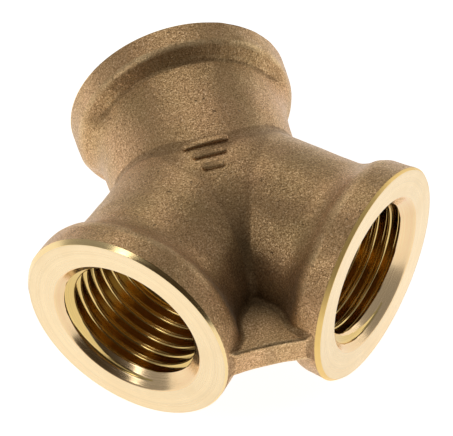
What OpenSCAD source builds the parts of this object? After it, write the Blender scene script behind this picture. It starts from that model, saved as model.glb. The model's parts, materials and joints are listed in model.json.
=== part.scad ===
// Three-way pipe fitting, a Y-piece with three female G 1/2 ports in one plane.
// It is one machined casting.  The nodes are its natural regions, which meet face to face.
// Origin: centre of the rear port's end face.  +Y points out of the rear port, +Z is up,
// and the axes of all three ports lie in the plane Z = 0.

/* [Ports] */
// Distance from the meeting point of the axes to the rear port's end face
rear_reach = 20.4; // [19:0.2:24]
// Distance from the meeting point of the axes to the left and right ports' end faces
front_reach = 24.6; // [24:0.2:28]
// Angle between the left and right ports, which the rear port's axis halves
front_spread = 90; // [86:1:94]

/* [Casting] */
// Outside diameter of the necks
neck_d = 26.0; // [25.6:0.1:26.4]
// Collar diameter where its shoulder ends
collar_back_d = 30.9; // [30.4:0.1:31.4]
// Collar diameter at the machined end, a little larger because of the mould's draft
collar_front_d = 31.2; // [31:0.1:32]
// Length of the collar's straight band, from the shoulder to the end face
band_length = 3.6; // [3:0.1:4.5]
// Radius of the hollow curve where the neck swells into the collar
foot_radius = 6.5; // [5:0.5:8]
// Radius of the collar's round shoulder
shoulder_radius = 2.3; // [1.5:0.1:3]
// Diameter of the cored waterway between the threads
waterway_d = 18.0; // [16:0.1:18.4]

/* [Machined ends] */
// Outside diameter of the flat end face
face_d = 30.5; // [30:0.1:31]
// Depth of the turned chamfer around the end face
rim_chamfer = 0.65; // [0.4:0.05:1]
// Diameter of the 45 degree countersink where it meets the end face
countersink_d = 22.6; // [21.6:0.1:23.4]

/* [Thread] */
// Thread pitch, G 1/2: 14 threads per inch
thread_pitch = 1.814; // [1.814]
// Thread diameter at the roots
thread_major_d = 20.955; // [20.955]
// Thread diameter at the crests
thread_minor_d = 18.631; // [18.631]
// Depth of the threaded part, from the end face
thread_depth = 15.0; // [14:0.5:16]
// Number of full thread turns
thread_turns = 7; // [6:1:7]

/* [Web] */
// Thickness of the web between the left and right collars
web_thickness = 4.3; // [3:0.1:6]
// Distance from the meeting point of the axes to the web's front edge
web_reach = 27.5; // [25:0.1:27.8]

/* [Casting mark] */
// Height of the raised mark above the skin
mark_height = 0.45; // [0.2:0.05:0.8]
// Width of each raised bar of the mark
mark_bar_w = 1.1; // [0.6:0.1:1.5]
// Length of the longest raised bar
mark_bar_l = 6.5; // [4:0.5:8]

/* [Hidden] */
$fn = 96;

neck_r = neck_d / 2;
back_r = collar_back_d / 2;
front_r = collar_front_d / 2;
waterway_r = waterway_d / 2;
face_r = face_d / 2;
countersink_r = countersink_d / 2;
crest_r = thread_minor_d / 2;
root_r = thread_major_d / 2;

// The threaded end is a sleeve with this outside radius, let into the neck and collar.
sleeve_wall = 1.25;
sleeve_r = root_r + sleeve_wall;

// The hollow foot and the round shoulder are two arcs that meet tangentially at one point.
swell = back_r - neck_r;
arc_sum = foot_radius + shoulder_radius;
swell_length = sqrt(arc_sum * arc_sum - (arc_sum - swell) * (arc_sum - swell));
foot_share = foot_radius / arc_sum;
// Everything on a port is measured back from its end face.
shoulder_back = band_length;
foot_back = shoulder_back + swell_length;
turn_back = foot_back - swell_length * foot_share;
turn_r = neck_r + swell * foot_share;

// Whitworth profile: 55 degree flanks, crests and roots cut flat to a sixth of the pitch.
thread_flat = thread_pitch / 6;
crest_gap = thread_pitch - thread_flat;

rear_turn = 0;
left_turn = 180 - front_spread / 2;
right_turn = -left_turn;

// The mark sits a little to the left of the middle, and its bars reach down into the skin.
mark_shift = 1.2;
mark_root = 1.2;

cast_colour = [0.56, 0.44, 0.30];
turned_colour = [0.93, 0.80, 0.55];
over = 0.5;

// Puts a port, which is drawn along +Z with its end face at Z = 0, on the fitting.
module place(turn, reach) {
    translate([0, -rear_reach, 0])
        rotate([0, 0, turn])
        rotate([-90, 0, 0])
        translate([0, 0, reach])
        children();
}

module at_rear() { place(rear_turn, rear_reach) children(); }
module at_left() { place(left_turn, front_reach) children(); }
module at_right() { place(right_turn, front_reach) children(); }

// A straight round bar from the meeting point of the axes to a distance behind the end face.
module core(r, reach, back) {
    translate([0, 0, -reach])
        cylinder(h = reach - back, r = r);
}

// Half section of the collar's outside: radius along X, distance from the end face along Y.
module collar_section(inner) {
    intersection() {
        union() {
            difference() {
                polygon([
                    [inner, -foot_back],
                    [turn_r, -foot_back],
                    [turn_r, -turn_back],
                    [inner, -turn_back]
                ]);
                translate([neck_r + foot_radius, -foot_back])
                    circle(r = foot_radius);
            }
            polygon([
                [inner, -turn_back],
                [turn_r, -turn_back],
                [back_r - shoulder_radius, -shoulder_back],
                [inner, -shoulder_back]
            ]);
            translate([back_r - shoulder_radius, -shoulder_back])
                circle(r = shoulder_radius);
            polygon([
                [inner, -shoulder_back],
                [back_r, -shoulder_back],
                [front_r, -rim_chamfer],
                [inner, -rim_chamfer]
            ]);
        }
        translate([inner, -foot_back])
            square([front_r - inner, foot_back - rim_chamfer]);
    }
}

module collar() {
    color(cast_colour)
        rotate_extrude()
        collar_section(sleeve_r);
}

// One thread groove in half section.
module groove_section() {
    polygon([
        [crest_r - over, -crest_gap / 2 - over * tan(27.5)],
        [root_r, -thread_flat / 2],
        [root_r, thread_flat / 2],
        [crest_r - over, crest_gap / 2 + over * tan(27.5)]
    ]);
}

// End face, chamfered rim, countersink and thread: everything that the lathe cuts on a port.
module threaded_end() {
    rotate_extrude()
        difference() {
            polygon([
                [crest_r, -thread_depth],
                [sleeve_r, -thread_depth],
                [sleeve_r, -rim_chamfer],
                [front_r, -rim_chamfer],
                [face_r, 0],
                [countersink_r, 0],
                [crest_r, crest_r - countersink_r]
            ]);
            for (turn = [1 : thread_turns])
                translate([0, -turn * thread_pitch])
                groove_section();
        }
}

// Keeps one side of the plane X = 0: -1 is the left and 1 the right.  The inner corners of the
// left and right sleeves would run into each other in the crotch, so both are mitred there.
module mitred(side) {
    block = 4 * front_reach;
    intersection() {
        children();
        translate([side * block / 2, -rear_reach, 0])
            cube(block, center = true);
    }
}

// The whole outside of a port as one solid, used to cut what stands against it.
module port_envelope(reach) {
    core(neck_r, reach, foot_back - over);
    rotate_extrude()
        collar_section(0);
    translate([0, 0, -rim_chamfer])
        cylinder(h = rim_chamfer, r1 = front_r, r2 = face_r);
}

module hub_solid(r) {
    at_rear() core(r, rear_reach, foot_back);
    at_left() core(r, front_reach, foot_back);
    at_right() core(r, front_reach, foot_back);
}

module sleeve_seat() {
    translate([0, 0, -thread_depth])
        cylinder(h = thread_depth, r = sleeve_r);
}

// The hollow middle of the casting with its three necks.
module junction() {
    color(cast_colour)
        difference() {
            hub_solid(neck_r);
            at_rear() core(waterway_r, rear_reach, 0);
            at_left() core(waterway_r, front_reach, 0);
            at_right() core(waterway_r, front_reach, 0);
            at_rear() sleeve_seat();
            at_left() sleeve_seat();
            at_right() sleeve_seat();
        }
}

module rear_collar() { at_rear() collar(); }
module left_collar() { at_left() collar(); }
module right_collar() { at_right() collar(); }

module rear_threaded_end() { color(turned_colour) at_rear() threaded_end(); }
module left_threaded_end() { color(turned_colour) mitred(-1) at_left() threaded_end(); }
module right_threaded_end() { color(turned_colour) mitred(1) at_right() threaded_end(); }

// Flat plate that ties the left and right collars together across the crotch.
module web() {
    crotch = neck_r * sqrt(2);
    root_half_w = 4;
    front_half_w = 6;
    color(cast_colour)
        difference() {
            translate([0, -rear_reach, -web_thickness / 2])
                linear_extrude(web_thickness)
                polygon([
                    [0, -crotch + root_half_w],
                    [-root_half_w, -crotch],
                    [-front_half_w, -web_reach],
                    [front_half_w, -web_reach],
                    [root_half_w, -crotch]
                ]);
            at_left() port_envelope(front_reach);
            at_right() port_envelope(front_reach);
        }
}

// Three plain raised bars on top of the junction, each shorter than the one behind it.
// They stand clear of the upright line through the meeting point of the axes.
module casting_mark() {
    color(cast_colour)
        for (bar = [0 : 2])
        difference() {
            translate([-mark_shift, -rear_reach + mark_bar_w * (1 - 2 * bar), neck_r - mark_root])
                linear_extrude(mark_root + mark_height)
                square([mark_bar_l * (1 - bar / 4), mark_bar_w], center = true);
            hub_solid(neck_r);
        }
}

junction();
rear_collar();
left_collar();
right_collar();
rear_threaded_end();
left_threaded_end();
right_threaded_end();
web();
casting_mark();
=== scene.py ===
# A cast Y-shaped pipe fitting with three machined, threaded ports, on a pale table under soft studio light.

import json
import math

import bmesh
import bpy
import numpy as np
from mathutils import Matrix, Vector


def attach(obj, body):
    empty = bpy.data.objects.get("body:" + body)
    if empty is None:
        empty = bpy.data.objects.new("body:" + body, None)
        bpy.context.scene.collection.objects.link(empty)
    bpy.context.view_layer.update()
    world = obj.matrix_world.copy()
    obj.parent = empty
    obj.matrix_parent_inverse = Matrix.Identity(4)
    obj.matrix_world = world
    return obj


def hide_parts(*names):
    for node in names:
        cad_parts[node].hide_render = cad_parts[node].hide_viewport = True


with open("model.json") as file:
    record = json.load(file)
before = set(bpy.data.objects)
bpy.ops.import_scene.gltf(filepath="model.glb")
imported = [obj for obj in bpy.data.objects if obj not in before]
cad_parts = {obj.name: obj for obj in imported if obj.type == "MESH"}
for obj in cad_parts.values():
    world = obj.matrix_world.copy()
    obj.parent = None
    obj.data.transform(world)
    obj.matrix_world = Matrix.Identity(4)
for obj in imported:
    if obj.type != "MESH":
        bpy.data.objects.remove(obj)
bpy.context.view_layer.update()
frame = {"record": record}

# ---------------------------------------------------------------- sizes, in millimetres
MM = 0.001
SIDES = ("rear", "left", "right")

NECK_R = 13.1             # at the collar's foot
NECK_DRAFT = 0.024        # how much thinner the neck gets per millimetre behind the collar
COLLAR_DEPTH = 9.73       # where the collar's node ends, behind the end face
FACE_R = 15.25
CHAMFER = 0.65
REAR_CHAMFER = 0.15
COUNTERSINK_R = 11.3
COUNTERSINK_SLOPE = 1.1   # radius lost per millimetre of depth
WATERWAY_R = 9.0
HUB_CORE_R = 9.15         # ball where the waterways meet, a little larger than they are
SLEEVE_R = 11.7275        # outside of the threaded sleeve, hidden in the casting

# The thread: G 1/2, ISO 228.
THREAD_DEPTH = 15.0
PITCH = 1.814
CREST_R = 9.3155
ROOT_R = 10.4775
THREAD_START = 0.69       # of a turn
FLANK_ANGLE = math.radians(27.5)
NOSE_R = 0.137329 * PITCH   # rounding of crests and roots

WEB_THICKNESS = 4.3
WEB_REACH = 27.5          # web's front edge, from the meeting point of the axes
WEB_HALF_WIDTH = 6.0      # its sides lie inside the collars
WEB_FRONT_HALF = 4.6      # half the length of its front edge
WEB_HOLLOW = 0.25         # how far the middle of the front edge lies back

NECK_BLEND = 1.05         # fillet radius between the necks
HUB_BLEND = 8.0           # the same between the front necks, in the middle of the hub
HUB_BLEND_REACH = 14.5    # and how far from the middle it takes to narrow down
WEB_BLEND = 0.7           # fillet radius between the web and its neighbours
WEB_EDGE = 0.35           # rounding of the web's edges

MARK_BARS = 3
MARK_BAR_W = 1.1
MARK_BAR_L = 6.5          # the longest bar
MARK_SHRINK = 0.25        # how much shorter each bar is than the one before, as a share of the longest
MARK_SHIFT = 1.2          # to the left of the middle
MARK_HEIGHT = 0.50
MARK_SUNK = 0.4
MARK_EDGE = 0.3           # rounding of the bars

CELL = 0.35
WEB_CELL = 0.15
MARK_CELL = 0.11


class Section:
    """A collar's section: slightly conical band, round shoulder, wall and hollow foot, all tangential."""

    def __init__(self, front_r, back_r, band, shoulder, foot, tilt=None):
        self.front_r, self.back_r = front_r, back_r
        self.band, self.shoulder, self.foot = band, shoulder, foot
        drop = back_r - NECK_R
        if tilt is None:
            self.tilt = math.acos(1 - drop / (shoulder + foot))
        else:
            self.tilt = math.radians(tilt)
        straight = drop - (shoulder + foot) * (1 - math.cos(self.tilt))
        self.wall = band + shoulder * math.sin(self.tilt)
        self.turn = self.wall + straight / math.tan(self.tilt)
        self.end = self.turn + foot * math.sin(self.tilt)

    def radius(self, depth):
        """Outside radius at a depth behind the end face, down into the neck."""
        band = self.back_r + (self.front_r - self.back_r) * (self.band - depth) / (self.band - CHAMFER)
        over = np.clip(depth - self.band, 0, self.shoulder)
        rounded = self.back_r - self.shoulder + np.sqrt(self.shoulder ** 2 - over ** 2)
        wall_top = self.back_r - self.shoulder * (1 - math.cos(self.tilt))
        wall = wall_top - (depth - self.wall) * math.tan(self.tilt)
        hollow = NECK_R + self.foot - np.sqrt(self.foot ** 2 - np.clip(self.end - depth, 0, self.foot) ** 2)
        neck = NECK_R - NECK_DRAFT * (depth - self.end)
        r = np.where(depth > self.band, rounded, band)
        r = np.where(depth > self.wall, wall, r)
        r = np.where(depth > self.turn, hollow, r)
        return np.where(depth > self.end, neck, r)


REAR_R = 15.19
LEFT_R = 15.62
RIGHT_R = 15.58
# Each port's section at the sides, and the one on top and underneath. The rear collar is a little
# smaller, and a tight crease runs along its foot on top and underneath.
SOFT_REAR = Section(REAR_R, 15.15, band=3.3, shoulder=2.8, foot=5.0)
TIGHT_REAR = Section(REAR_R, 15.12, band=3.0, shoulder=1.2, foot=0.5, tilt=50)
SECTIONS = {
    "rear": (SOFT_REAR, TIGHT_REAR),
    "left": (Section(LEFT_R, 15.5, band=3.2, shoulder=2.8, foot=5.2),) * 2,
    "right": (Section(RIGHT_R, 15.36, band=3.2, shoulder=2.8, foot=5.2),) * 2,
}
# How far each cast collar is off its bore: upwards, and to the left as seen on the way out of the port.
OFFSETS = {"rear": (0.0, 0.10), "left": (0.13, 0.13), "right": (0.0, 0.14)}
OFFSET_FULL_TO = 9.0      # how far behind the end face the offset starts to fade
OFFSET_GONE_AT = 14.0     # and where it ends


# ---------------------------------------------------------------- ports, from the frame
class Port:
    """One port: the centre of its end face and its axis, which points out of its mouth."""

    def __init__(self, mount, sections, offset):
        self.soft, self.tight = sections
        self.face = np.array(mount["pos_m"]) / MM
        self.axis = np.array(mount["axis"])
        self.axis = self.axis / np.linalg.norm(self.axis)
        leftward = np.array([self.axis[1], -self.axis[0], 0])
        self.offset = np.array([0, 0, offset[0]]) + offset[1] * leftward

    def matrix(self):
        """Places something drawn along +Z, with its end face at Z = 0, on this port."""
        z = Vector(self.axis)
        x = Vector((0, 0, 1))
        y = z.cross(x)
        turn = Matrix((x, y, z)).transposed().to_4x4()
        return Matrix.Translation(Vector(self.face)) @ turn

    def at(self, depth):
        """The point of the axis at a depth behind the end face."""
        return self.face - self.axis * depth


mounts = {m["name"]: m for m in frame["record"]["mounts"]}
ports = {side: Port(mounts[side + "_face"], SECTIONS[side], OFFSETS[side]) for side in SIDES}
# The rear port's axis is the line X = 0, and the left port's axis meets it here.
left_face, left_axis = ports["left"].face, ports["left"].axis
meet = np.array([0.0, left_face[1] - left_face[0] * left_axis[1] / left_axis[0], 0.0])
for port in ports.values():
    port.reach = float(np.linalg.norm(port.face - meet))


# ---------------------------------------------------------------- the casting as a distance field
PAST_FACE = 1.0           # the skin runs on this far beyond the end faces, until it is cut at the rims
UPRIGHT_FROM = 0.25       # sine of the angle above the side where the top section starts to count
UPRIGHT_SPAN = 0.3
STEEPEST_SQUARED = 6      # limit on a collar's slope, squared, where distances are worked out from it
WIDEST_BLEND = 1.3        # limit on 1 minus the cosine between two surfaces, where they are joined


def smooth_step(t):
    return t * t * (3 - 2 * t)


def rounded_corner(a, b, r):
    """What two fields have in common, with its edge rounded to a radius."""
    return np.minimum(-r, np.maximum(a, b)) + np.hypot(np.maximum(r + a, 0), np.maximum(r + b, 0))


def collar_radius(depth, port, upright):
    """Outside radius of neck and collar, where upright is 0 at the sides and 1 on top and underneath."""
    soft = port.soft.radius(depth)
    if port.soft is port.tight:
        return soft
    return soft + (port.tight.radius(depth) - soft) * upright


def port_field(p, port):
    """Distance to the outside of one neck with its collar, and the surface direction there."""
    away = p - port.face
    depth = -(away @ port.axis)
    side = away + depth[:, None] * port.axis
    behind = np.maximum(depth - port.reach, 0)
    side = side - behind[:, None] * port.axis
    share = np.clip((OFFSET_GONE_AT - depth) / (OFFSET_GONE_AT - OFFSET_FULL_TO), 0, 1)
    side = side - share[:, None] * port.offset
    r = np.linalg.norm(side, axis=1) + 1e-9
    upright = smooth_step(np.clip((np.abs(side[:, 2]) / r - UPRIGHT_FROM) / UPRIGHT_SPAN, 0, 1))
    step = 0.05
    rise = collar_radius(depth + step, port, upright) - collar_radius(depth - step, port, upright)
    slope = rise / (2 * step)
    dist = (r - collar_radius(depth, port, upright)) / np.sqrt(1 + np.minimum(slope ** 2, STEEPEST_SQUARED))
    return np.maximum(dist, -depth - PAST_FACE), side / r[:, None]


def join(a, na, b, nb, radius):
    """Union of two fields with a fillet of that radius. It adds nothing where the surfaces run parallel."""
    k = radius * np.sqrt(np.clip(1 - (na * nb).sum(1), 0, WIDEST_BLEND)) + 1e-6
    d = np.maximum(k, np.minimum(a, b)) - np.hypot(np.maximum(k - a, 0), np.maximum(k - b, 0))
    return d, np.where((a < b)[:, None], na, nb)


def web_field(p):
    """Flat plate with rounded edges between the left and right collars, and the surface direction there."""
    x, y, z = (p - meet).T
    flat = np.abs(z) - WEB_THICKNESS / 2
    hollow = WEB_HOLLOW * np.clip(1 - (x / WEB_FRONT_HALF) ** 2, 0, 1)
    front = -y - WEB_REACH + hollow
    d = rounded_corner(flat, front, WEB_EDGE)
    n = np.zeros_like(p)
    on_flat = flat > front
    n[on_flat, 2] = np.sign(z[on_flat])
    n[~on_flat, 1] = -1
    side = np.abs(x) - WEB_HALF_WIDTH
    back = y + NECK_R
    return np.maximum(d, np.maximum(side, back)), n


WAVES = 14
WAVE_HEIGHT = 0.010
SHORTEST_WAVE = 2.6
LONGEST_WAVE = 8.0
draws = np.random.default_rng(11)
wave_directions = draws.normal(size=(WAVES, 3))
wave_directions /= np.linalg.norm(wave_directions, axis=1)[:, None]
wave_lengths = draws.uniform(SHORTEST_WAVE, LONGEST_WAVE, WAVES)
wave_phases = draws.uniform(0, 2 * math.pi, WAVES)


def unevenness(p):
    """The slight waviness of a sand-cast skin, mostly within a few hundredths of a millimetre."""
    k = wave_directions * (2 * math.pi / wave_lengths)[:, None]
    return WAVE_HEIGHT * np.sin(p @ k.T + wave_phases).sum(1)


def casting(p):
    """Distance to the outside of the whole casting, without its bores."""
    rear, n_rear = port_field(p, ports["rear"])
    left, n_left = port_field(p, ports["left"])
    right, n_right = port_field(p, ports["right"])
    away = np.hypot(p[:, 0] - meet[0], p[:, 1] - meet[1])
    fork_blend = NECK_BLEND + (HUB_BLEND - NECK_BLEND) * np.clip(1 - away / HUB_BLEND_REACH, 0, 1)
    fork, n_fork = join(left, n_left, right, n_right, fork_blend)
    body, n_body = join(fork, n_fork, rear, n_rear, NECK_BLEND)
    web, n_web = web_field(p)
    whole, _ = join(body, n_body, web, n_web, WEB_BLEND)
    return whole + unevenness(p)


def gradient(field, p, step=0.02):
    """How fast a field grows along each axis."""
    g = np.empty_like(p)
    for k in range(3):
        e = np.zeros(3)
        e[k] = step
        g[:, k] = (field(p + e) - field(p - e)) / (2 * step)
    return g


def hollowness(field, p, step=0.4):
    """Sum of the curvatures: above 0 on round edges, below 0 in hollows, in 1/mm."""
    total = -6 * field(p)
    for k in range(3):
        e = np.zeros(3)
        e[k] = step
        total += field(p + e) + field(p - e)
    return total / step ** 2


CROTCH_REACH = 9.0        # sum of the distances to both front ports at which the crotch's shade ends


def sheltered(p):
    """How deep a point lies in the crotch between the left and right ports, which sets the shade painted
    there: 0 is in the open.
    """
    left, n_left = port_field(p, ports["left"])
    right, n_right = port_field(p, ports["right"])
    near = np.clip(1 - (np.abs(left) + np.abs(right)) / CROTCH_REACH, 0, 1)
    return near * np.clip(1 - (n_left * n_right).sum(1), 0, 1)


NEWTON_STEPS = 4
FLATTEST_SQUARED = 0.05   # limit on a field's slope, squared, so that no step gets too long


def surface_net(field, low, high, cell):
    """Closed quad mesh of the surface where field is 0, inside a box. Returns its points and quads."""
    low, high = np.asarray(low, float), np.asarray(high, float)
    n = np.ceil((high - low) / cell).astype(int) + 1
    ys, zs = (low[k] + cell * np.arange(n[k]) for k in (1, 2))
    value = np.empty(n)
    for i in range(n[0]):
        grid = np.stack(np.meshgrid([low[0] + cell * i], ys, zs, indexing="ij"), -1)
        value[i] = field(grid.reshape(-1, 3)).reshape(n[1:])
    sums = np.zeros((n.prod(), 3))
    hits = np.zeros(n.prod())
    stride = np.array([n[1] * n[2], n[2], 1])
    faces = []
    for k in range(3):
        a = value.take(range(n[k] - 1), k)
        b = value.take(range(1, n[k]), k)
        at = np.argwhere((a < 0) != (b < 0))
        va, vb = a[tuple(at.T)], b[tuple(at.T)]
        point = at.astype(float)
        point[:, k] += va / (va - vb)
        u, v = (k + 1) % 3, (k + 2) % 3
        cells = []
        for du, dv in ((0, 0), (1, 0), (1, 1), (0, 1)):
            c = at.copy()
            c[:, u] -= du
            c[:, v] -= dv
            ids = c @ stride
            for axis in range(3):
                sums[:, axis] += np.bincount(ids, point[:, axis], len(sums))
            hits += np.bincount(ids, minlength=len(hits))
            cells.append(ids)
        quad = np.stack(cells, 1)
        out = va > 0
        quad[out] = quad[out][:, ::-1]
        faces.append(quad)
    used = np.flatnonzero(hits)
    number = np.full(len(hits), -1)
    number[used] = np.arange(len(used))
    points = low + cell * sums[used] / hits[used][:, None]
    quads = number[np.concatenate(faces)]
    for _ in range(NEWTON_STEPS):
        g = gradient(field, points)
        step = field(points)[:, None] * g / np.maximum((g * g).sum(1), FLATTEST_SQUARED)[:, None]
        points -= np.clip(step, -cell / 2, cell / 2)
    return points, quads


# ---------------------------------------------------------------- mesh helpers, in millimetres
def mesh_from(name, points, faces):
    """A mesh from rows of points and of point numbers."""
    mesh = bpy.data.meshes.new(name)
    mesh.from_pydata(np.asarray(points).tolist(), [], [tuple(int(i) for i in f) for f in faces])
    mesh.validate()
    return mesh


def cut(bm, point, normal):
    """Removes what lies on the normal's side of a plane. Closes the cut, and returns the faces that do."""
    everything = bm.verts[:] + bm.edges[:] + bm.faces[:]
    made = bmesh.ops.bisect_plane(bm, geom=everything, dist=1e-5, plane_co=Vector(point),
                                  plane_no=Vector(normal), clear_outer=True)
    edges = [e for e in made["geom_cut"] if isinstance(e, bmesh.types.BMEdge)]
    filled = bmesh.ops.triangle_fill(bm, use_beauty=True, edges=edges)
    return [f for f in filled["geom"] if isinstance(f, bmesh.types.BMFace)]


def lathe(name, section, segments):
    """Closed surface of revolution about Z, from (radius, height) points that start and end on the axis."""
    bm = bmesh.new()
    verts = [bm.verts.new((r, 0, z)) for r, z in section]
    edges = [bm.edges.new(pair) for pair in zip(verts, verts[1:])]
    bmesh.ops.spin(bm, geom=verts + edges, cent=(0, 0, 0), axis=(0, 0, 1), angle=2 * math.pi,
                   steps=segments, use_merge=True)
    bmesh.ops.remove_doubles(bm, verts=bm.verts[:], dist=1e-4)
    bmesh.ops.recalc_face_normals(bm, faces=bm.faces[:])
    mesh = bpy.data.meshes.new(name)
    bm.to_mesh(mesh)
    bm.free()
    return mesh


def subtract(mesh, tools):
    """The mesh with the tools' meshes cut out of it."""
    scene = bpy.context.scene.collection
    body = bpy.data.objects.new("body", mesh)
    scene.objects.link(body)
    for tool, matrix in tools:
        cutter = bpy.data.objects.new("cutter", tool)
        cutter.matrix_world = matrix
        scene.objects.link(cutter)
        modifier = body.modifiers.new("bore", "BOOLEAN")
        modifier.operation = "DIFFERENCE"
        modifier.solver = "MANIFOLD"
        modifier.object = cutter
    bpy.context.view_layer.update()
    evaluated = body.evaluated_get(bpy.context.evaluated_depsgraph_get())
    result = bpy.data.meshes.new_from_object(evaluated)
    for o in [body] + [m.object for m in body.modifiers]:
        bpy.data.objects.remove(o)
    return result


def piece(name, mesh, replaces, matrix=None):
    """Makes the shown object from a finished mesh, and puts it on the frame. The matrix is in millimetres."""
    obj = bpy.data.objects.new(name, mesh)
    bpy.context.scene.collection.objects.link(obj)
    if matrix is not None:
        place = matrix.copy()
        place.translation = matrix.translation * MM
        obj.matrix_world = place
    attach(obj, "root")
    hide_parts(*replaces)


# ---------------------------------------------------------------- materials
class Nodes:
    """Short names for building a node tree."""

    def __init__(self, tree):
        self.tree = tree

    def add(self, kind, inputs=None, **settings):
        """A new node, with its settings, and with its inputs set or linked."""
        node = self.tree.nodes.new(kind)
        for key, value in settings.items():
            setattr(node, key, value)
        for key, value in (inputs or {}).items():
            self.feed(node.inputs[key], value)
        return node

    def feed(self, socket, value):
        """Links an output to an input, or sets the input to a constant."""
        if isinstance(value, bpy.types.NodeSocket):
            self.tree.links.new(value, socket)
        else:
            socket.default_value = value

    def math(self, operation, *values, clamp=False):
        node = self.add("ShaderNodeMath", operation=operation, use_clamp=clamp)
        for socket, value in zip(node.inputs, values):
            self.feed(socket, value)
        return node.outputs[0]

    def ramp(self, value, *stops):
        """Colour ramp from (position, colour) stops."""
        node = self.add("ShaderNodeValToRGB", {"Fac": value})
        elements = node.color_ramp.elements
        while len(elements) < len(stops):
            elements.new(0.5)
        for element, (at, colour) in zip(elements, stops):
            element.position = at
            element.color = (*colour, 1)
        return node.outputs[0]

    def spread(self, value, low, high, to_low=0.0, to_high=1.0):
        """Maps low..high to to_low..to_high, and holds it at the ends."""
        node = self.add("ShaderNodeMapRange", {"Value": value, "From Min": low, "From Max": high,
                                               "To Min": to_low, "To Max": to_high})
        return node.outputs[0]

    def mix(self, share, a, b, blend="MIX"):
        """Colour a with a share of colour b over it."""
        node = self.add("ShaderNodeMix", data_type="RGBA", blend_type=blend)
        self.feed(node.inputs[0], share)
        self.feed(node.inputs[6], a)
        self.feed(node.inputs[7], b)
        return node.outputs[2]

    def noise(self, vector, scale, detail=2.0, rough=0.5, dims="3D"):
        node = self.add("ShaderNodeTexNoise", {"Scale": scale, "Detail": detail, "Roughness": rough},
                        noise_dimensions=dims)
        self.feed(node.inputs["W" if dims == "1D" else "Vector"], vector)
        return node.outputs[0]


def new_material(name):
    """An empty material with one Principled shader. Returns the material, its nodes and the shader."""
    material = bpy.data.materials.new(name)
    material.use_nodes = True
    tree = material.node_tree
    tree.nodes.clear()
    n = Nodes(tree)
    shader = n.add("ShaderNodeBsdfPrincipled")
    out = n.add("ShaderNodeOutputMaterial")
    tree.links.new(shader.outputs[0], out.inputs[0])
    return material, n, shader


def rgb(r, g, b):
    return (r, g, b, 1.0)


# Positions and colours of the cast grains, from the dark ones to the bright ones.
GRAIN_STOPS = ((0.33, (0.320, 0.184, 0.080)), (0.47, (0.570, 0.352, 0.168)),
               (0.57, (0.710, 0.452, 0.228)), (0.69, (1.0, 0.72, 0.44)))
CLOUD_STOPS = ((0.34, (0.90, 0.92, 0.84)), (0.66, (1.0, 0.96, 0.94)))
# Colours mixed over the grains: shade painted into hollows, the casting's own pits, shade painted into the
# crotch between the front ports, and edges rubbed bright, which also paints a highlight on them.
HOLLOW_SHADE_BROWN = rgb(0.14, 0.085, 0.035)
PIT_BROWN = rgb(0.10, 0.062, 0.026)
CROTCH_SHADE_BROWN = rgb(0.085, 0.055, 0.024)
EDGE_WEAR_AND_HIGHLIGHT_GOLD = rgb(1.0, 0.76, 0.42)
SHEEN_CREAM = rgb(1.0, 0.95, 0.84)


def cast_material():
    """Tumbled sand-cast bronze: fine bright and dark grains and pits; shade painted into hollows, which are
    also rougher, and into the crotch; edges rubbed bright, which also paints a highlight on them.
    """
    material, n, shader = new_material("cast_skin")
    where = n.add("ShaderNodeTexCoord").outputs["Object"]
    bend = n.add("ShaderNodeAttribute", attribute_name="bend").outputs["Fac"]
    grain = n.noise(where, 4600, detail=3.0, rough=0.62)
    facets = n.noise(where, 2600, detail=2.0, rough=0.55)
    coarse = n.noise(where, 900, detail=2.0, rough=0.5)
    cloud = n.noise(where, 120, detail=3.0, rough=0.55)
    patchiness = n.noise(where, 260, detail=4.0, rough=0.6)
    base = n.ramp(grain, *GRAIN_STOPS)
    tint = n.ramp(cloud, *CLOUD_STOPS)
    base = n.mix(1.0, base, tint, "MULTIPLY")
    # Painted shade: the skin gets darker in hollows, in patches.
    hollow_shade_mask = n.spread(bend, low=-0.16, high=-0.75)
    hollow_shade_mask = n.math("MULTIPLY", hollow_shade_mask, n.spread(patchiness, 0.3, 0.6, to_low=0.6), clamp=True)
    base = n.mix(n.math("MULTIPLY", hollow_shade_mask, 0.45), base, HOLLOW_SHADE_BROWN)
    pits = n.spread(n.noise(where, 1300, detail=1.0, rough=0.4), 0.735, 0.79)
    base = n.mix(n.math("MULTIPLY", pits, 0.55), base, PIT_BROWN)
    # Painted shade: the skin gets darker deep in the crotch between the front ports.
    crotch_shade = n.add("ShaderNodeAttribute", attribute_name="crotch_shade").outputs["Fac"]
    base = n.mix(n.spread(crotch_shade, 0.06, 0.55, to_high=0.58), base, CROTCH_SHADE_BROWN)
    # Round edges rubbed bright by tumbling, which also paints the highlight along ridges and on the tops of
    # the mark's bars.
    edge_wear_and_highlight = n.math("MULTIPLY", n.spread(bend, 0.2, 0.6), n.spread(patchiness, 0.35, 0.65), clamp=True)
    base = n.mix(n.math("MULTIPLY", edge_wear_and_highlight, 0.5), base, EDGE_WEAR_AND_HIGHLIGHT_GOLD)
    n.feed(shader.inputs["Base Color"], base)
    shader.inputs["Metallic"].default_value = 0.85
    shader.inputs["Sheen Weight"].default_value = 0.12
    shader.inputs["Sheen Roughness"].default_value = 0.4
    shader.inputs["Sheen Tint"].default_value = SHEEN_CREAM
    polish = n.spread(grain, 0.3, 0.75, to_low=0.53, to_high=0.35)
    n.feed(shader.inputs["Roughness"], n.math("ADD", polish, n.math("MULTIPLY", hollow_shade_mask, 0.15)))
    height = n.math("ADD", facets, n.math("MULTIPLY", coarse, 0.9))
    height = n.math("SUBTRACT", height, n.math("MULTIPLY", pits, 0.6))
    bump = n.add("ShaderNodeBump", {"Strength": 0.9, "Distance": 0.08 * MM, "Height": height})
    n.feed(shader.inputs["Normal"], bump.outputs[0])
    return material


SMEAR_TINT = (0.93, 0.84, 0.70)


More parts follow.
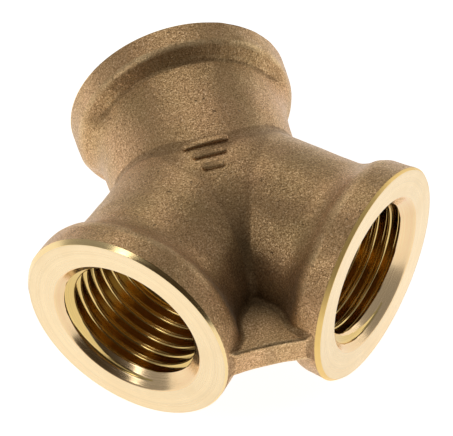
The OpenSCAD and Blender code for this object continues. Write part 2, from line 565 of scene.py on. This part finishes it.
def turned_material(name, colour, roughness, ring_scale, ring_depth, metallic=1.0):
    """Turned brass: rings left by the tool, a few smears, colour a little uneven. The depth is in metres."""
    material, n, shader = new_material(name)
    where = n.add("ShaderNodeTexCoord").outputs["Object"]
    flat = n.add("ShaderNodeVectorMath", {0: where, 1: (1, 1, 0)}, operation="MULTIPLY").outputs[0]
    radius = n.add("ShaderNodeVectorMath", {0: flat}, operation="LENGTH").outputs["Value"]
    along = n.add("ShaderNodeSeparateXYZ", {0: where}).outputs[2]
    feed_path = n.math("ADD", radius, along)
    rings = n.noise(feed_path, ring_scale, detail=3.0, rough=0.6, dims="1D")
    broad = n.noise(feed_path, ring_scale / 7, detail=2.0, rough=0.5, dims="1D")
    smear = n.noise(where, 170, detail=3.0, rough=0.6)
    shade = n.math("ADD", n.math("MULTIPLY", rings, 0.5), n.math("MULTIPLY", broad, 0.5))
    low = tuple(c * 0.90 for c in colour)
    high = tuple(min(1.0, c * 1.05) for c in colour)
    base = n.ramp(shade, (0.35, low), (0.62, high))
    smeared = rgb(*(c * k for c, k in zip(colour, SMEAR_TINT)))
    base = n.mix(n.spread(smear, 0.45, 0.72, to_high=0.22), base, smeared)
    n.feed(shader.inputs["Base Color"], base)
    shader.inputs["Metallic"].default_value = metallic
    ring_rough = n.spread(rings, 0.3, 0.7, to_low=roughness - 0.05, to_high=roughness + 0.05)
    smear_rough = n.spread(smear, 0.35, 0.7, to_low=-0.02, to_high=0.05)
    n.feed(shader.inputs["Roughness"], n.math("ADD", ring_rough, smear_rough))
    shader.inputs["Anisotropic"].default_value = 0.45
    tangent = n.add("ShaderNodeTangent", direction_type="RADIAL", axis="Z")
    n.feed(shader.inputs["Tangent"], tangent.outputs[0])
    bump = n.add("ShaderNodeBump", {"Strength": 0.5, "Distance": ring_depth, "Height": rings})
    n.feed(shader.inputs["Normal"], bump.outputs[0])
    return material


RING_DEPTH = 0.002 * MM
FACE_RING_DEPTH = 0.0025 * MM
cast_skin = cast_material()
face_brass = turned_material("turned_face", (0.885, 0.700, 0.435), 0.30, 5200, FACE_RING_DEPTH)
rim_brass = turned_material("turned_rim", (0.90, 0.68, 0.34), 0.16, 3800, RING_DEPTH)
dull_rim_brass = turned_material("turned_rim_dull", (0.98, 0.66, 0.22), 0.36, 3800, RING_DEPTH, metallic=0.7)
sink_brass = turned_material("turned_countersink", (0.84, 0.61, 0.35), 0.19, 3800, RING_DEPTH)
thread_brass = turned_material("cut_thread", (0.70, 0.50, 0.19), 0.13, 3000, RING_DEPTH)


# ---------------------------------------------------------------- cast pieces
def note_shape(mesh):
    """Stores, for each point of a cast piece, how hollow and how sheltered it is, from which the skin paints
    shade into hollows and into the crotch.
    """
    count = len(mesh.vertices)
    points = np.empty(count * 3)
    mesh.vertices.foreach_get("co", points)
    points = points.reshape(-1, 3)
    notes = {"bend": np.clip(hollowness(casting, points), -2, 2), "crotch_shade": sheltered(points)}
    for name, values in notes.items():
        layer = mesh.attributes.new(name, "FLOAT", "POINT")
        layer.data.foreach_set("value", values.astype(np.float32))


def finish_mesh(mesh, crisp_from):
    """Scales to metres, and sets smooth shading with corners that are crisp from an angle in degrees."""
    mesh.transform(Matrix.Scale(MM, 4))
    mesh.shade_smooth()
    mesh.set_sharp_from_angle(angle=math.radians(crisp_from))
    mesh.update()


def carve(name, points, quads, planes=(), tools=()):
    """Cuts one region out of the casting's skin by planes, closes it, bores it and finishes it."""
    bm = bmesh.new()
    mesh = mesh_from(name, points, quads)
    bm.from_mesh(mesh)
    for point, normal in planes:
        cut(bm, point, normal)
    bmesh.ops.recalc_face_normals(bm, faces=bm.faces[:])
    bmesh.ops.triangulate(bm, faces=[f for f in bm.faces if len(f.verts) > 4])
    bm.to_mesh(mesh)
    bm.free()
    if tools:
        mesh = subtract(mesh, tools)
    mesh.name = name
    mesh.materials.clear()
    mesh.materials.append(cast_skin)
    note_shape(mesh)
    finish_mesh(mesh, crisp_from=38)
    return mesh


BORE_SEGMENTS = 160
HUB_SEGMENTS = 128
HUB_STEPS = 40
BORE_SPARE = 3            # how far a bore's tool stands out of the end face
# Each bore is turned a little about its own axis, so that no facet edge of one meets one of another.
BORE_TURNS = {"rear": math.radians(0.31), "left": math.radians(0.97), "right": math.radians(1.63)}
HUB_TURN = math.radians(0.43)


def bore_tool(port):
    """The waterway from the meeting point outwards, with the seat of the threaded sleeve."""
    waterway = [(0, -port.reach), (WATERWAY_R, -port.reach), (WATERWAY_R, -THREAD_DEPTH)]
    seat = [(SLEEVE_R, -THREAD_DEPTH), (SLEEVE_R, BORE_SPARE), (0, BORE_SPARE)]
    return lathe("bore", waterway + seat, BORE_SEGMENTS)


def hub_tool():
    """The ball where the three waterways meet."""
    angles = [math.pi * k / HUB_STEPS for k in range(1, HUB_STEPS)]
    arc = [(HUB_CORE_R * math.sin(a), -HUB_CORE_R * math.cos(a)) for a in angles]
    return lathe("hub", [(0, -HUB_CORE_R)] + arc + [(0, HUB_CORE_R)], HUB_SEGMENTS)


# A box round the whole casting.
margin = 1.5
low = np.array([-31.0, min(p.face[1] for p in ports.values()) - 12, -17]) - margin
high = np.array([31.0, 1.0, 17]) + margin
skin_points, skin_quads = surface_net(casting, low, high, CELL)

bores = {side: (bore_tool(port), port.matrix() @ Matrix.Rotation(BORE_TURNS[side], 4, "Z"))
         for side, port in ports.items()}
hub_core = (hub_tool(), Matrix.Translation(Vector(meet)) @ Matrix.Rotation(HUB_TURN, 4, "X"))

# The web is the wedge between two upright planes that start where the feet of the two collars meet.
web_tip = meet + np.array([0, -(ports["left"].reach - COLLAR_DEPTH) * math.sqrt(2), 0])
web_corner = meet + np.array([-WEB_FRONT_HALF, -WEB_REACH, 0])
edge_line = web_corner - web_tip
web_left = np.array([-edge_line[1], edge_line[0], 0])
web_left = web_left / np.linalg.norm(web_left) * math.copysign(1, web_left[0])
web_right = web_left * np.array([-1, 1, 1])

# The planes between the junction and the collars.
feet = {side: (port.at(COLLAR_DEPTH), port.axis) for side, port in ports.items()}
junction_mesh = carve("junction", skin_points, skin_quads, [feet[s] for s in SIDES],
                      [hub_core] + list(bores.values()))
piece("junction_casting", junction_mesh, replaces=["junction"])

for side in SIDES:
    port = ports[side]
    rim_depth = REAR_CHAMFER if side == "rear" else CHAMFER
    planes = [(feet[side][0], -port.axis), (port.at(rim_depth), port.axis)]
    if side == "left":
        planes.append((web_tip, web_left))
    if side == "right":
        planes.append((web_tip, web_right))
    collar_mesh = carve(side + "_collar", skin_points, skin_quads, planes, [bores[side]])
    piece(side + "_collar_casting", collar_mesh, replaces=[side + "_collar"])

# A box round the web.
web_low = meet + np.array([-7.5, -WEB_REACH - 2, -5])
web_high = meet + np.array([7.5, -17.5, 5])


def web_only(p):
    """The casting near the web, closed off by a box so that the mesh ends inside it."""
    inner_low, inner_high = web_low + 1, web_high - 1
    box = np.maximum(inner_low - p, p - inner_high).max(1)
    return np.maximum(casting(p), box)


web_points, web_quads = surface_net(web_only, web_low, web_high, WEB_CELL)
web_mesh = carve("web", web_points, web_quads, [(web_tip, -web_left), (web_tip, -web_right)])
piece("web_casting", web_mesh, replaces=["web"])


# ---------------------------------------------------------------- casting mark
def mark_field(p):
    """Rounded bars that follow the skin, each sunk a little into it. Each is shorter than the one before."""
    x, y, _ = (p - meet).T
    skin = casting(p)
    outline = np.full(len(p), np.inf)
    for bar in range(MARK_BARS):
        half = MARK_BAR_L * (1 - bar * MARK_SHRINK) / 2 - MARK_BAR_W / 2
        dx = np.maximum(np.abs(x + MARK_SHIFT) - half, 0)
        dy = y - MARK_BAR_W * (1 - 2 * bar)
        outline = np.minimum(outline, np.hypot(dx, dy) - MARK_BAR_W / 2)
    return np.maximum(rounded_corner(outline, skin - MARK_HEIGHT, MARK_EDGE), -skin - MARK_SUNK)


# A box round the mark.
mark_low = meet + np.array([-6, -5, NECK_R - 3])
mark_high = meet + np.array([4, 3, NECK_R + 1.5])
mark_points, mark_quads = surface_net(mark_field, mark_low, mark_high, MARK_CELL)
mark_mesh = carve("casting_mark", mark_points, mark_quads)
piece("casting_mark_bars", mark_mesh, replaces=["casting_mark"])


# ---------------------------------------------------------------- threaded ends
FACE, RIM, SINK, THREAD, CAST = range(5)
AROUND = 192     # points in a ring
PER_TURN = 26    # thread rows in a turn
THREAD_ROWS = 9 * PER_TURN
ROWS_FROM = 0.4                   # depth where the thread's rows begin
FADE_LENGTH = 2.6                 # the thread fades out over this length
FADE_END = 0.3                    # and ends this far before the sleeve's back
SLEEVE_MIDDLE = 8.0
EDGE = 0.05                       # size of the small roundings on the turned edges
FACE_RINGS = 6
FACE_BORDER = 0.3                 # how far the face's rings stay from its edges
angles = np.arange(AROUND) * 2 * math.pi / AROUND


def thread_radius(turn):
    """Whitworth form with round crests and roots: radius at a phase of 0 to 1, where 0 is the root."""
    phase = np.abs((np.asarray(turn) + 0.5) % 1.0 - 0.5) * PITCH
    middle = (CREST_R + ROOT_R) / 2
    straight = middle + (PITCH / 4 - phase) / math.tan(FLANK_ANGLE)
    touch = NOSE_R * math.cos(FLANK_ANGLE)
    root_arc = ROOT_R - NOSE_R + np.sqrt(np.maximum(NOSE_R ** 2 - phase ** 2, 0))
    crest_arc = CREST_R + NOSE_R - np.sqrt(np.maximum(NOSE_R ** 2 - (PITCH / 2 - phase) ** 2, 0))
    return np.where(phase < touch, root_arc, np.where(phase > PITCH / 2 - touch, crest_arc, straight))


def thread_rows():
    """Depth and radius of the thread's helical rows, and where the countersink has cut them away."""
    row = np.arange(THREAD_ROWS + 1)
    turns = row[:, None] / PER_TURN - 1 + angles[None, :] / (2 * math.pi)
    depth = np.clip(ROWS_FROM + turns * PITCH, ROWS_FROM, THREAD_DEPTH)
    cutter = thread_radius(row / PER_TURN - THREAD_START)[:, None]
    fade = smooth_step(np.clip((THREAD_DEPTH - FADE_END - depth) / FADE_LENGTH, 0, 1))
    radius = CREST_R + (cutter - CREST_R) * fade
    cone = COUNTERSINK_R - depth * COUNTERSINK_SLOPE
    return depth, np.maximum(radius, cone), cone > radius


def ring_point(r, depth, angle):
    """A point of a threaded end, which is drawn with its end face at Z = 0."""
    return (r * math.cos(angle), -r * math.sin(angle), -depth)


def threaded_end_mesh(front_r, face_r, chamfer, chamfer_slope, offset, rim_material, mitre):
    """Chamfered rim, end face, countersink and a right-hand thread, as one closed shell along +Z."""
    # Rings of the shell as (radius, depth), from the sleeve's back round its outside to the countersink.
    outside = [(SLEEVE_R, THREAD_DEPTH), (SLEEVE_R, SLEEVE_MIDDLE), (SLEEVE_R, chamfer)]
    rim = [(face_r + EDGE * chamfer_slope, EDGE), (face_r + EDGE * 0.1, EDGE * 0.3), (face_r - EDGE * 0.5, 0)]
    face = [(r, 0) for r in np.linspace(face_r - FACE_BORDER, COUNTERSINK_R + FACE_BORDER, FACE_RINGS)]
    sink = [(COUNTERSINK_R + EDGE, 0), (COUNTERSINK_R, EDGE * 0.4)]
    sink += [(COUNTERSINK_R - d * COUNTERSINK_SLOPE, d) for d in (0.08, 0.2, ROWS_FROM)]
    # The chamfer is cut true to the bore, so it is wide where the casting stands out and narrow opposite.
    cast_r = front_r + offset[0] * np.cos(angles) - offset[1] * np.sin(angles)
    cast_edge = np.clip((cast_r - face_r) / chamfer_slope, 1.5 * EDGE, chamfer)

    points = [ring_point(*ring, a) for ring in outside for a in angles]
    points += [ring_point(r, chamfer, a) for r, a in zip(cast_r, angles)]
    points += [ring_point(r, d, a) for r, d, a in zip(cast_r, cast_edge, angles)]
    points += [ring_point(*ring, a) for ring in rim + face + sink for a in angles]
    plain = len(points) // AROUND
    row_depth, row_radius, in_sink = thread_rows()
    for depths, radii in zip(row_depth, row_radius):
        points += [ring_point(r, d, a) for r, d, a in zip(radii, depths, angles)]

    def index(level, i):
        """Point number. A thread row that has gone once round is the row one turn further on."""
        if i < AROUND:
            return level * AROUND + i
        if level < plain:
            return level * AROUND
        return (plain + min(level - plain + PER_TURN, THREAD_ROWS)) * AROUND

    face_from = len(outside) + 2 + len(rim) - 1
    face_to = face_from + len(face)

    def kind_of(level, i):
        """Which material the face between a level and the next one has."""
        if level <= len(outside):
            return CAST
        if level < face_from:
            return RIM
        if level <= face_to:
            return FACE
        if level < plain or in_sink[level - plain, i]:
            return SINK
        return THREAD

    bm = bmesh.new()
    verts = [bm.verts.new(p) for p in points]
    end = plain + THREAD_ROWS
    for level in range(end + 1):
        following = 0 if level == end else level + 1
        for i in range(AROUND):
            corners = (index(level, i), index(level, i + 1), index(following, i + 1), index(following, i))
            if len(set(corners)) < 3:
                continue
            made = bm.faces.new([verts[c] for c in dict.fromkeys(corners)])
            made.material_index = THREAD if level == end else kind_of(level, i)
    bmesh.ops.remove_doubles(bm, verts=bm.verts[:], dist=1e-4)
    if mitre:
        for hidden_face in cut(bm, *mitre):
            hidden_face.material_index = THREAD
    bmesh.ops.recalc_face_normals(bm, faces=bm.faces[:])
    mesh = bpy.data.meshes.new("threaded_end")
    bm.to_mesh(mesh)
    bm.free()
    for material in (face_brass, rim_material, sink_brass, thread_brass, cast_skin):
        mesh.materials.append(material)
    finish_mesh(mesh, crisp_from=32)
    return mesh


END_SHAPES = {
    "rear": {"front_r": REAR_R, "face_r": 15.11, "chamfer": REAR_CHAMFER, "chamfer_slope": 0.54,
             "rim_material": rim_brass},
    "left": {"front_r": LEFT_R, "face_r": FACE_R, "chamfer": CHAMFER, "chamfer_slope": 0.75,
             "rim_material": rim_brass},
    "right": {"front_r": RIGHT_R, "face_r": FACE_R, "chamfer": CHAMFER, "chamfer_slope": 0.75,
              "rim_material": dull_rim_brass},
}


def mitre_plane(side):
    """Where the left and right sleeves meet in the crotch, in the port's own coordinates."""
    if side == "rear":
        return None
    to_port = ports[side].matrix().inverted()
    away = Vector((1, 0, 0)) if side == "left" else Vector((-1, 0, 0))
    return to_port @ Vector(meet), to_port.to_3x3() @ away


for side in SIDES:
    end_mesh = threaded_end_mesh(**END_SHAPES[side], offset=OFFSETS[side], mitre=mitre_plane(side))
    piece(side + "_machined_end", end_mesh, replaces=[side + "_threaded_end"],
          matrix=ports[side].matrix())


# ---------------------------------------------------------------- table, light and camera
FLOOR_Z = -15.9 * MM
FLOOR_HALF = 1.5          # half its side, in metres
floor_mesh = bpy.data.meshes.new("table")
floor_corners = [(x * FLOOR_HALF, y * FLOOR_HALF, 0) for x, y in ((-1, -1), (1, -1), (1, 1), (-1, 1))]
floor_mesh.from_pydata(floor_corners, [], [(0, 1, 2, 3)])
floor = bpy.data.objects.new("table", floor_mesh)
floor.location = (0, 0, FLOOR_Z)
bpy.context.scene.collection.objects.link(floor)
# The table is evenly pale, and glows evenly, so that it comes out white.
floor_material, _, floor_shader = new_material("table_white")
floor_shader.inputs["Roughness"].default_value = 0.8
floor_shader.inputs["Specular IOR Level"].default_value = 0.1
floor_shader.inputs["Emission Color"].default_value = rgb(1, 1, 1)
floor_shader.inputs["Base Color"].default_value = rgb(0.60, 0.60, 0.60)
floor_shader.inputs["Emission Strength"].default_value = 0.92
floor_mesh.materials.append(floor_material)

world = bpy.data.worlds.new("studio")
bpy.context.scene.world = world
world.use_nodes = True
world.node_tree.nodes.clear()
sky = Nodes(world.node_tree)


def heading(azimuth, elevation):
    """Unit vector. Azimuth 0 points to the front, -Y, and 90 to the right, +X. Both angles are in degrees."""
    a, e = math.radians(azimuth), math.radians(elevation)
    return Vector((math.sin(a) * math.cos(e), -math.cos(a) * math.cos(e), math.sin(e)))


# The walls are palest at the table's height and below.
WALL_STOPS = ((0.10, (1.0, 1.0, 1.0)), (0.20, (0.38, 0.38, 0.38)),
              (0.55, (0.28, 0.28, 0.28)), (1.0, (0.22, 0.22, 0.22)))
direction = sky.add("ShaderNodeTexCoord").outputs["Generated"]
height = sky.add("ShaderNodeSeparateXYZ", {0: direction}).outputs[2]
walls = sky.ramp(sky.spread(height, -0.2, 1.0), *WALL_STOPS)


def dark_zone(azimuth, elevation, inner, outer):
    """1 inside an inner angle round a direction, and 0 outside an outer one."""
    towards = tuple(heading(azimuth, elevation))
    dot = sky.add("ShaderNodeVectorMath", {0: direction, 1: towards}, operation="DOT_PRODUCT")
    return sky.spread(dot.outputs["Value"], math.cos(math.radians(outer)), math.cos(math.radians(inner)))


# The room in front of the table, behind the camera, is unlit.
UNLIT_BROWN = rgb(0.045, 0.034, 0.022)
unlit = dark_zone(azimuth=-18, elevation=28, inner=44, outer=51)
room = sky.mix(unlit, walls, UNLIT_BROWN)
background = sky.add("ShaderNodeBackground", {"Color": room, "Strength": 1.0})
world_out = sky.add("ShaderNodeOutputWorld")
world.node_tree.links.new(background.outputs[0], world_out.inputs[0])

centre = Vector(meet) * MM
SOFTBOX_DISTANCE = 0.5    # in metres


def softbox(name, azimuth, elevation, wide, tall, radiance):
    """Rectangular area light that looks at the middle of the fitting. Width and height are in degrees."""
    light = bpy.data.lights.new(name, "AREA")
    light.shape = "RECTANGLE"
    light.size = 2 * SOFTBOX_DISTANCE * math.tan(math.radians(wide / 2))
    light.size_y = 2 * SOFTBOX_DISTANCE * math.tan(math.radians(tall / 2))
    light.energy = radiance * math.pi * light.size * light.size_y
    lamp = bpy.data.objects.new(name, light)
    back = heading(azimuth, elevation)
    lamp.location = centre + back * SOFTBOX_DISTANCE
    lamp.rotation_euler = back.to_track_quat("Z", "Y").to_euler()
    bpy.context.scene.collection.objects.link(lamp)


softbox("softbox_back", azimuth=-177, elevation=47, wide=40, tall=24, radiance=1.15)
softbox("softbox_left", azimuth=-73, elevation=40, wide=10, tall=34, radiance=3.2)
softbox("softbox_right", azimuth=102, elevation=12, wide=22, tall=22, radiance=1.3)

# The camera looks down from the front, a little from the left, through a very long lens.
VIEW_AZIMUTH = -14.6      # angles in degrees
VIEW_ELEVATION = 49.54
VIEW_ROLL = -1.108
VIEW_DISTANCE = 1.629     # in metres
LENS = 953.6
SENSOR = 36.0
AIM_RIGHT = 1.288         # where it looks, in millimetres beside and below the meeting point
AIM_DOWN = 1.397

roll = math.radians(VIEW_ROLL)
back = heading(VIEW_AZIMUTH, VIEW_ELEVATION)
right = Vector((0, 0, 1)).cross(back).normalized()
up = back.cross(right)
rolled_right = right * math.cos(roll) + up * math.sin(roll)
rolled_up = up * math.cos(roll) - right * math.sin(roll)
camera_data = bpy.data.cameras.new("camera")
camera_data.lens = LENS
camera_data.sensor_width = SENSOR
camera_data.clip_start = 0.1
camera_data.clip_end = 20
camera = bpy.data.objects.new("camera", camera_data)
aim = centre + (rolled_right * AIM_RIGHT - rolled_up * AIM_DOWN) * MM
turn = Matrix((rolled_right, rolled_up, back)).transposed().to_4x4()
camera.matrix_world = Matrix.Translation(aim + back * VIEW_DISTANCE) @ turn
bpy.context.scene.collection.objects.link(camera)
bpy.context.scene.camera = camera
bpy.context.scene.view_settings.view_transform = "Standard"
